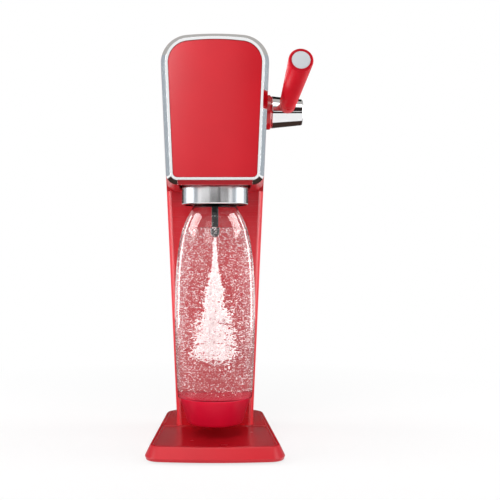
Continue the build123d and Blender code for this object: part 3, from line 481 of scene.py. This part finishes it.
def spun(name, profile, place=None, closed=False):
    """Turned piece from (radius, height, corner softness) points, spun about Z and then put in its place."""
    bm = bmesh.new()
    corners = [bm.verts.new((radius, 0, height)) for radius, height, soft in profile]
    for start, end in zip(corners, corners[1:]):
        bm.edges.new((start, end))
    if closed:
        bm.edges.new((corners[-1], corners[0]))
    for corner, (radius, height, soft) in zip(corners, profile):
        if soft > 0:
            bmesh.ops.bevel(bm, geom=[corner], offset=soft, offset_type="OFFSET", segments=CORNER_STEPS,
                            profile=0.5, affect="VERTICES", material=-1)
    bmesh.ops.spin(bm, geom=bm.verts[:] + bm.edges[:], cent=(0, 0, 0), axis=(0, 0, 1), angle=math.tau,
                   steps=ROUND_STEPS, use_merge=True)
    bmesh.ops.remove_doubles(bm, verts=bm.verts, dist=0.000001)
    bmesh.ops.recalc_face_normals(bm, faces=bm.faces)
    if place is not None:
        bmesh.ops.transform(bm, matrix=place, verts=bm.verts)
    made = new_object(name, bm)
    made.data.shade_smooth()
    made.modifiers.new("shading", "WEIGHTED_NORMAL")
    return made


hub_low, hub_high = (Vector(corner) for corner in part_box("lever_hub"))
hub_length = hub_high.x - hub_low.x
hub_start = Vector((hub_low.x, (hub_low.y + hub_high.y) / 2, (hub_low.z + hub_high.z) / 2))
hub_place = Matrix.Translation(hub_start) @ Matrix.Rotation(math.radians(90), 4, "Y")
hub = spun("hub", [(0, 0, 0), (HUB_R_INNER, 0, HUB_SOFT), (HUB_R_OUTER, hub_length, HUB_SOFT),
                   (0, hub_length, 0)], hub_place)
hub.data.materials.append(chrome)
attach(hub, "lever")
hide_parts("lever_hub")
finish_node("lever_escutcheon", red_gloss, SMALL_EDGE)


# Lever handle
# A tapered, polished red grip grows out of the hub, with a parting line near its foot.
# Its end is closed by a pale disc in a thin ring of the same red.
HANDLE_OFFSET = 0.016
HANDLE_LIFT = 0.002
HANDLE_RISE = math.radians(11.7)
HANDLE_SPLAY = math.radians(1.6)
HANDLE_LENGTH = 0.128
HANDLE_FOOT = 0.008
HANDLE_R_HUB = 0.0082
HANDLE_R_END = 0.0118
HANDLE_END_SOFT = 0.002
PARTING_AT = 0.026
PARTING_WIDTH = 0.0006
PARTING_DEPTH = 0.0003
PARTING_SOFT = 0.0002
CAP_R = 0.0096
CAP_DEPTH = 0.002
CAP_RING_WALL = 0.0008
CAP_RIM_SOFT = 0.0002
CAP_LIP_SOFT = 0.0003
CAP_CROWN = 0.0004
CROWN_TURN = 0.6
CROWN_DROP = 0.3
CROWN_SOFT = 0.001


def handle_radius(along):
    """Radius of the grip at one distance from the hub's axis."""
    return HANDLE_R_HUB + (HANDLE_R_END - HANDLE_R_HUB) * along / HANDLE_LENGTH


handle_way = Vector((math.sin(HANDLE_SPLAY), -math.cos(HANDLE_RISE) * math.cos(HANDLE_SPLAY),
                     math.sin(HANDLE_RISE) * math.cos(HANDLE_SPLAY)))
handle_start = hub_start + Vector((HANDLE_OFFSET, 0, HANDLE_LIFT))
handle_place = Matrix.Translation(handle_start) @ handle_way.to_track_quat("Z", "Y").to_matrix().to_4x4()
parting_end = PARTING_AT + PARTING_WIDTH
handle = spun("handle", [
    (0, HANDLE_FOOT, 0), (handle_radius(HANDLE_FOOT), HANDLE_FOOT, 0),
    (handle_radius(PARTING_AT), PARTING_AT, PARTING_SOFT),
    (handle_radius(PARTING_AT) - PARTING_DEPTH, PARTING_AT, 0),
    (handle_radius(parting_end) - PARTING_DEPTH, parting_end, 0),
    (handle_radius(parting_end), parting_end, PARTING_SOFT),
    (HANDLE_R_END, HANDLE_LENGTH, HANDLE_END_SOFT), (CAP_R, HANDLE_LENGTH, 0),
    (CAP_R, HANDLE_LENGTH - CAP_DEPTH, 0), (0, HANDLE_LENGTH - CAP_DEPTH, 0)], handle_place)
cap_inner = CAP_R - CAP_RING_WALL
cap_low = HANDLE_LENGTH - CAP_DEPTH
cap_ring = spun("cap_ring", [(cap_inner, cap_low, 0), (CAP_R, cap_low, 0),
                             (CAP_R, HANDLE_LENGTH, CAP_RIM_SOFT),
                             (cap_inner, HANDLE_LENGTH, CAP_LIP_SOFT)], handle_place, closed=True)
cap_disc = spun("cap_disc", [(0, cap_low, 0), (cap_inner, cap_low, 0),
                             (cap_inner, HANDLE_LENGTH - CAP_CROWN, CAP_RIM_SOFT),
                             (CROWN_TURN * cap_inner, HANDLE_LENGTH - CROWN_DROP * CAP_CROWN, CROWN_SOFT),
                             (0, HANDLE_LENGTH, 0)], handle_place)
red_grip = moulded_plastic("red_grip", (0.6, 0.004, 0.016), 0.4, shine=0.15)
pale_plastic = moulded_plastic("pale_plastic", (0.74, 0.77, 0.8), 0.3)
for piece, finish, slot, node in ((handle, red_grip, "red_plastic", "lever_handle"),
                                  (cap_ring, red_grip, "red_plastic", "handle_cap_ring"),
                                  (cap_disc, pale_plastic, "pale_plastic", "handle_cap_disc")):
    piece.data.materials.append(finish)
    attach(piece, "lever")
    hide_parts(node)


# Bottle holder
# A dark carriage hangs on steel trunnions in the head and tilts forward, with jaws in the sleeve below it.
# A polished steel collar with a soft lower edge and a thin lip hides them.
# The black nozzle, pressed into the carriage, comes down inside, with a dark grey tip.
HOLDER_EDGE = 0.0002
COLLAR_WALL = 0.003
COLLAR_SOFT = 0.0015
COLLAR_TOP_SOFT = 0.0004
COLLAR_LIP = 0.0005
COLLAR_MOUTH_R = 0.0262
NOZZLE_JET_R = 0.0008
NOZZLE_STEM_R = 0.0018
NOZZLE_SOCKET = 0.008
TIP_RIM_SOFT = 0.0004
TIP_TAPER_SOFT = 0.0012
TIP_END_SOFT = 0.0008
for name in ("guide_sleeve", "holder_carriage", "snap_jaws", "trunnion_blocks"):
    finish_node(name, dark_satin, HOLDER_EDGE)
finish_node("trunnion_pins", bright_steel)
finish_node("bottle_gasket", foot_rubber)
mirror_steel = worked_metal("mirror_steel", (0.82, 0.82, 0.83), 0.2)
tip_grey = moulded_plastic("tip_grey", (0.03, 0.028, 0.028), 0.3, shine=0.3)
collar_low, collar_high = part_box("holder_collar")
collar_r = collar_high[0]
collar_inner = collar_r - COLLAR_WALL
lip_top = collar_low[2] + COLLAR_LIP
collar = spun("collar", [(collar_inner, collar_high[2], SMALL_EDGE),
                         (collar_r, collar_high[2], COLLAR_TOP_SOFT), (collar_r, collar_low[2], COLLAR_SOFT),
                         (COLLAR_MOUTH_R, collar_low[2], HOLDER_EDGE), (COLLAR_MOUTH_R, lip_top, 0),
                         (collar_inner, lip_top, 0)], closed=True)
tube_low, tube_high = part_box("nozzle_tube")
tip_low, tip_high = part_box("nozzle_tip")
tube_r = tube_high[0]
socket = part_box("bottle_gasket")[1][2] + NOZZLE_SOCKET
tube = spun("tube", [(0, tube_high[2], 0), (NOZZLE_STEM_R, tube_high[2], SMALL_EDGE),
                     (NOZZLE_STEM_R, socket, 0), (tube_r, socket, SMALL_EDGE), (tube_r, tube_low[2], 0),
                     (0, tube_low[2], 0)])
tip = spun("tip", [(NOZZLE_JET_R, tip_high[2], 0), (tube_r, tip_high[2], TIP_RIM_SOFT),
                   (tube_r, tip_low[2] + tube_r, TIP_TAPER_SOFT), (tube_r / 2, tip_low[2], TIP_END_SOFT),
                   (NOZZLE_JET_R, tip_low[2], 0)], closed=True)
black_gloss = moulded_plastic("black_gloss", (0.004, 0.004, 0.004), 0.2, shine=0.2)
for piece, finish, slot, node in ((collar, mirror_steel, "polished_steel", "holder_collar"),
                                  (tube, black_gloss, "dark_plastic", "nozzle_tube"),
                                  (tip, tip_grey, "grey_plastic", "nozzle_tip")):
    piece.data.materials.append(finish)
    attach(piece, "holder")
    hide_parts(node)
for side in SIDES:
    reach("side_" + side, collar, "EXCLUDE")
    reach("collar_" + side, collar, "INCLUDE")


# Bottle
# A clear bottle, blown in one with a thick neck, hangs in the jaws by the flange on that neck.
# Its floor is domed, so that it bears the pressure of the gas.
BOTTLE_WALL = 0.0012
NECK_R = 0.021
NECK_WALL = 0.0035
NECK_SOFT = 0.0004
NECK_BASE_R = 0.0224
NECK_BASE_DROP = 0.021
NECK_BASE_SOFT = 0.001
FLANGE_R = 0.0233
FLANGE_DROP = 0.009
FLANGE_HEIGHT = 0.003
BELLY_R = 0.0434
BELLY_RISE = 0.12
HEEL_R = 0.0402
SHOULDER_PULL = (0.037, 0.038)
BELLY_PULL_UP = 0.068
BELLY_PULL_DOWN = 0.03
HEEL_PULL = (0.0421, 0.03)
DOME_R = 0.0367
DOME_RISE = 0.0048
SIDE_STEPS = 24

foot_low, foot_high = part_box("bottle_foot")
bottle_base = foot_low[2]
bottle_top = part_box("bottle_shell")[1][2]
heel_z = foot_high[2]
belly_z = bottle_base + BELLY_RISE
neck_base_z = bottle_top - NECK_BASE_DROP
flange_top = bottle_top - FLANGE_DROP
flange_low = flange_top - FLANGE_HEIGHT
dome_low = bottle_base + DOME_RISE


def bottle_side(inset):
    """Outline of the bottle's side from the neck down to the heel, moved in by one distance."""
    upper = interpolate_bezier((NECK_BASE_R, neck_base_z), (SHOULDER_PULL[0], bottle_top - SHOULDER_PULL[1]),
                               (BELLY_R, belly_z + BELLY_PULL_UP), (BELLY_R, belly_z), SIDE_STEPS)
    lower = interpolate_bezier((BELLY_R, belly_z), (BELLY_R, belly_z - BELLY_PULL_DOWN),
                               (HEEL_PULL[0], heel_z + HEEL_PULL[1]), (HEEL_R, heel_z + inset), SIDE_STEPS)
    return [(point[0] - inset, point[1], 0) for point in upper + lower[1:]]


def bottle_dome(inset):
    """Outline of the round floor from its edge to the middle, moved in by one distance."""
    rise = heel_z - dome_low
    ball = (DOME_R ** 2 + rise ** 2) / (2 * rise)
    centre = dome_low + ball
    widest = math.acos((centre - heel_z - inset) / (ball - inset))
    angles = [widest * step / SIDE_STEPS for step in range(SIDE_STEPS, -1, -1)]
    return [((ball - inset) * math.sin(a), centre - (ball - inset) * math.cos(a), 0) for a in angles]


def clear_plastic(name, colour, ior, waves=0.0):
    """Clear plastic or liquid with a faint unevenness in its surface."""
    material, tree, output = new_material(name)
    shader = tree.nodes.new("ShaderNodeBsdfPrincipled")
    shader.inputs["Base Color"].default_value = (*colour, 1)
    shader.inputs["Transmission Weight"].default_value = 1.0
    shader.inputs["Roughness"].default_value = 0.0
    shader.inputs["IOR"].default_value = ior
    shader.inputs["Specular Tint"].default_value = (0.5, 0.5, 0.5, 1)
    tree.links.new(shader.outputs[0], output.inputs["Surface"])
    if waves > 0:
        place = tree.nodes.new("ShaderNodeTexCoord")
        ripple = tree.nodes.new("ShaderNodeTexNoise")
        ripple.inputs["Scale"].default_value = 60.0
        tree.links.new(place.outputs["Object"], ripple.inputs["Vector"])
        bump = tree.nodes.new("ShaderNodeBump")
        bump.inputs["Strength"].default_value = waves
        bump.inputs["Distance"].default_value = 0.0005
        tree.links.new(ripple.outputs["Fac"], bump.inputs["Height"])
        tree.links.new(bump.outputs["Normal"], shader.inputs["Normal"])
    return material


neck_inner = NECK_R - NECK_WALL
outer = [(NECK_R, bottle_top, NECK_SOFT), (NECK_R, flange_top, 0), (FLANGE_R, flange_top, NECK_SOFT),
         (FLANGE_R, flange_low, NECK_SOFT), (NECK_R, flange_low, 0),
         (NECK_R, neck_base_z + BOTTLE_WALL, NECK_SOFT)]
outer += bottle_side(0) + bottle_dome(0)
inner = [(neck_inner, bottle_top, NECK_SOFT), (neck_inner, neck_base_z + 2 * BOTTLE_WALL, NECK_BASE_SOFT)]
inner += bottle_side(BOTTLE_WALL) + bottle_dome(BOTTLE_WALL)
bottle = spun("bottle", outer + inner[::-1], closed=True)
bottle.data.materials.append(clear_plastic("clear_bottle", (1, 1, 1), 1.45, waves=0.05))
bottle.visible_shadow = False
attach(bottle, "bottle")
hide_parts("bottle_shell")
for side in SIDES:
    reach("side_" + side, bottle, "EXCLUDE")
    reach("strip_" + side, bottle, "INCLUDE")
    reach("rim_" + side, bottle, "INCLUDE")


# Foot cup
# A crimson plastic cup is glued on the bottle's floor, so that the bottle can stand on a table.
# Its floor inside, seen through the water, has its upward faces in a darker crimson as painted shade.
FOOT_WALL = 0.0018
FOOT_LOW_R = 0.0295
FOOT_SOFT = 0.003
FOOT_RIM_SOFT = 0.0004
FOOT_FILL = 0.0028
PAINTED_SHADE_SLOPE = 0.3
foot_r = foot_high[0]
foot_side = [(0, bottle_base, 0), (FOOT_LOW_R, bottle_base, FOOT_SOFT), (foot_r, heel_z, FOOT_RIM_SOFT),
             (foot_r - FOOT_WALL, heel_z, 0)]
foot = spun("foot", foot_side + bottle_dome(FOOT_FILL))
foot.data.materials.append(moulded_plastic("crimson", (0.8, 0.006, 0.04), 0.3, shine=0.2))
# The second, darker crimson is painted shade on the upward faces of the cup's floor, inside its wall.
foot.data.materials.append(moulded_plastic("crimson_painted_shade", (0.42, 0.004, 0.022), 0.4, shine=0.2))
for face in foot.data.polygons:
    if face.normal.z > PAINTED_SHADE_SLOPE and face.center.xy.length < foot_r - FOOT_WALL:
        face.material_index = 1
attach(foot, "bottle")
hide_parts("bottle_foot")
for side in SIDES:
    reach("side_" + side, foot, "EXCLUDE")


# Sparkling water
# The bottle is filled to its shoulder, and the nozzle's tip dips in.
# The water clings a little way up the wall.
WATER_LEVEL = 0.2388
WATER_OVERLAP = 0.0002
MENISCUS = 0.0012
water_inset = BOTTLE_WALL - WATER_OVERLAP


def radius_at(outline, z):
    """Radius at one height on an outline of (radius, height) points that runs downwards."""
    for (upper_r, upper_z), (lower_r, lower_z) in zip(outline, outline[1:]):
        if lower_z <= z <= upper_z:
            return upper_r + (lower_r - upper_r) * (upper_z - z) / (upper_z - lower_z)
    return outline[-1][0]


wall = [(radius, z) for radius, z, soft in bottle_side(BOTTLE_WALL)]
surface_r = radius_at(wall, WATER_LEVEL) + WATER_OVERLAP
water_side = [point for point in bottle_side(water_inset) if point[1] < WATER_LEVEL - MENISCUS]
water_top = [(0, WATER_LEVEL - MENISCUS, 0), (surface_r - 2 * MENISCUS, WATER_LEVEL - MENISCUS, MENISCUS),
             (surface_r, WATER_LEVEL, 0)]
water = spun("water", water_top + water_side + bottle_dome(water_inset))
water.data.materials.append(clear_plastic("water", (1.0, 0.99, 0.99), 1.33, waves=0.1))
water.visible_shadow = False
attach(water, "bottle")


# Bubbles and gas jet
# Gas leaves the nozzle as a thin white stream that breaks up into a cloud.
# Fine bubbles, drawn out by the stirred water, fill the rest of the bottle.
BUBBLE_COUNT = 6800
BUBBLE_R = (0.00016, 0.0003)
JET_COUNT = 5200
JET_R = (0.0003, 0.0006)
JET_SOLID = 0.45
JET_STAGES = ((0.0008, 0.226), (0.0032, 0.193), (0.009, 0.172), (0.0125, 0.15), (0.0165, 0.128),
              (0.0235, 0.112), (0.021, 0.098))
JET_CORE = 0.75
JET_SPREAD = 0.7
JET_PUFFS = 130
PUFF_REACH = 0.8
PUFF_SHARE = (0.15, 0.55)
BUBBLE_LENGTH = (1.5, 4.5)
BUBBLE_SPREAD = 0.85
BUBBLE_HOLLOW = 0.4
BUBBLE_FLOOR = 0.005
BUBBLE_CLEAR = 0.001
BUBBLE_WALL_GAP = 0.0018
BALL_CORNERS = 12
chance = random.Random(7)


def drops(name, places):
    """Many small stretched bubbles that lie every way, as one mesh, from (centre, radius) places."""
    bm = bmesh.new()
    bmesh.ops.create_icosphere(bm, subdivisions=1, radius=1)
    while len(bm.verts) < BALL_CORNERS * len(places):
        bmesh.ops.duplicate(bm, geom=bm.verts[:] + bm.edges[:] + bm.faces[:])
    corners = list(bm.verts)
    for count, (centre, radius) in enumerate(places):
        stretch = Matrix.Diagonal((radius, radius, radius * chance.uniform(*BUBBLE_LENGTH)))
        turn = Euler([chance.uniform(0, math.tau) for _ in range(3)]).to_matrix() @ stretch
        for corner in corners[BALL_CORNERS * count:BALL_CORNERS * (count + 1)]:
            corner.co = centre + turn @ corner.co
    bmesh.ops.delete(bm, geom=corners[BALL_CORNERS * len(places):], context="VERTS")
    made = new_object(name, bm)
    made.data.shade_smooth()
    return made


def around(radius, z, hollow=0.0):
    """Point at one height, evenly spread over a disc of that radius with a part of its area left out."""
    turn = chance.uniform(0, math.tau)
    distance = radius * math.sqrt(chance.uniform(hollow, 1))
    return Vector((distance * math.cos(turn), distance * math.sin(turn), z))


def free_place():
    """Place in the water, mostly near the wall and higher up, clear of the nozzle."""
    lowest = heel_z + BUBBLE_FLOOR
    highest = WATER_LEVEL - MENISCUS - BUBBLE_CLEAR
    while True:
        z = lowest + (highest - lowest) * chance.random() ** BUBBLE_SPREAD
        spot = around(radius_at(wall, z) - BUBBLE_WALL_GAP, z, hollow=BUBBLE_HOLLOW)
        if spot.xy.length > tube_r + BUBBLE_CLEAR or z < tip_low[2] - BUBBLE_CLEAR:
            return spot


def jet_height(first):
    """Height in the jet below one of its stages, more often further down."""
    top = JET_STAGES[first][1]
    return top + (JET_STAGES[-1][1] - top) * chance.random() ** JET_SPREAD


def puff():
    """One billow of the cloud below the thin stream, as a centre and a radius."""
    z = jet_height(1)
    radius = radius_at(JET_STAGES, z)
    return around(PUFF_REACH * radius, z), radius * chance.uniform(*PUFF_SHARE)


def jet_place():
    """Place in the jet's core or in one of the billows round it."""
    if chance.random() < JET_SOLID:
        z = jet_height(0)
        return around(JET_CORE * radius_at(JET_STAGES, z), z)
    centre, radius = chance.choice(puffs)
    return centre + Vector(chance.gauss(0, radius / 2) for _ in range(3))


def gas(name):
    """Gas in water: white, with a soft gloss and a faint painted glow that stands in for light scattered in
    it.
    """
    material, tree, output = new_material(name)
    shader = tree.nodes.new("ShaderNodeBsdfPrincipled")
    shader.inputs["Roughness"].default_value = 0.25
    # The faint pinkish glow is painted light that brightens the shaded sides of the bubbles and the jet.
    shader.inputs["Emission Color"].default_value = (1.0, 0.9, 0.9, 1)
    shader.inputs["Emission Strength"].default_value = 0.1
    tree.links.new(shader.outputs[0], output.inputs["Surface"])
    place = tree.nodes.new("ShaderNodeTexCoord")
    cloud = tree.nodes.new("ShaderNodeTexNoise")
    cloud.inputs["Scale"].default_value = 500.0
    tree.links.new(place.outputs["Object"], cloud.inputs["Vector"])
    tone = tree.nodes.new("ShaderNodeValToRGB")
    darker, lighter = tone.color_ramp.elements
    darker.position = 0.35
    darker.color = (0.75, 0.55, 0.55, 1)
    lighter.position = 0.6
    lighter.color = (0.95, 0.9, 0.9, 1)
    tree.links.new(cloud.outputs["Fac"], tone.inputs["Fac"])
    tree.links.new(tone.outputs["Color"], shader.inputs["Base Color"])
    return material


gas_white = gas("gas_white")
bubbles = drops("bubbles", [(free_place(), chance.uniform(*BUBBLE_R)) for _ in range(BUBBLE_COUNT)])
puffs = [puff() for _ in range(JET_PUFFS)]
jet = drops("jet", [(jet_place(), chance.uniform(*JET_R)) for _ in range(JET_COUNT)])
for piece in (bubbles, jet):
    piece.data.materials.append(gas_white)
    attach(piece, "bottle")
